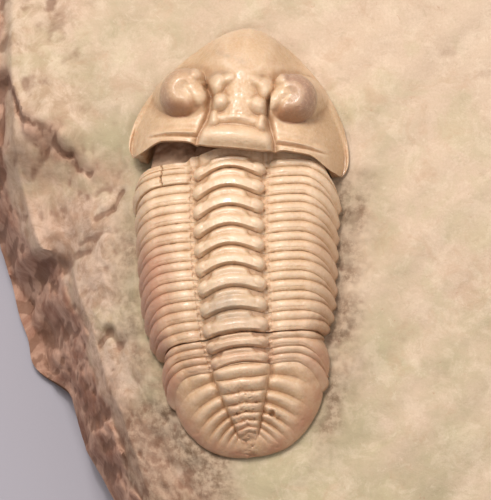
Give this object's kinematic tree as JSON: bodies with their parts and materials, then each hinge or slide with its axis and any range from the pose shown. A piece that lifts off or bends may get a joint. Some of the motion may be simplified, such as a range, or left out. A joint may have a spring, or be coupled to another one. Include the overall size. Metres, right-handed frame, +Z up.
{
  "type": "trilobite fossil on matrix",
  "caption": "Phacopid trilobite fossil with a domed head shield, segmented thorax and rounded tail shield, lying on a broken block of limestone that rests flat.",
  "frame": {"origin": "the middle of the underside of the stone, at the centre of the bounding box in plan", "axes": "+Z up from the flat underside, +Y towards the animal's head, +X towards the right-hand side of the picture"},
  "size_m": [0.048, 0.054, 0.0233],
  "materials": {
    "shield": "waxy satin calcite, peach to tan, darker in the furrows",
    "limestone": "matt fine-grained limestone, cream with greenish and reddish mottling"
  },
  "bodies": {
    "root": {"cephalon": "shield", "thorax_segment_01": "shield", "thorax_segment_02": "shield", "thorax_segment_03": "shield", "thorax_segment_04": "shield", "thorax_segment_05": "shield", "thorax_segment_06": "shield", "thorax_segment_07": "shield", "thorax_segment_08": "shield", "thorax_segment_09": "shield", "thorax_segment_10": "shield", "thorax_segment_11": "shield", "pygidium": "shield", "matrix": "limestone"}
  },
  "joints": []
}
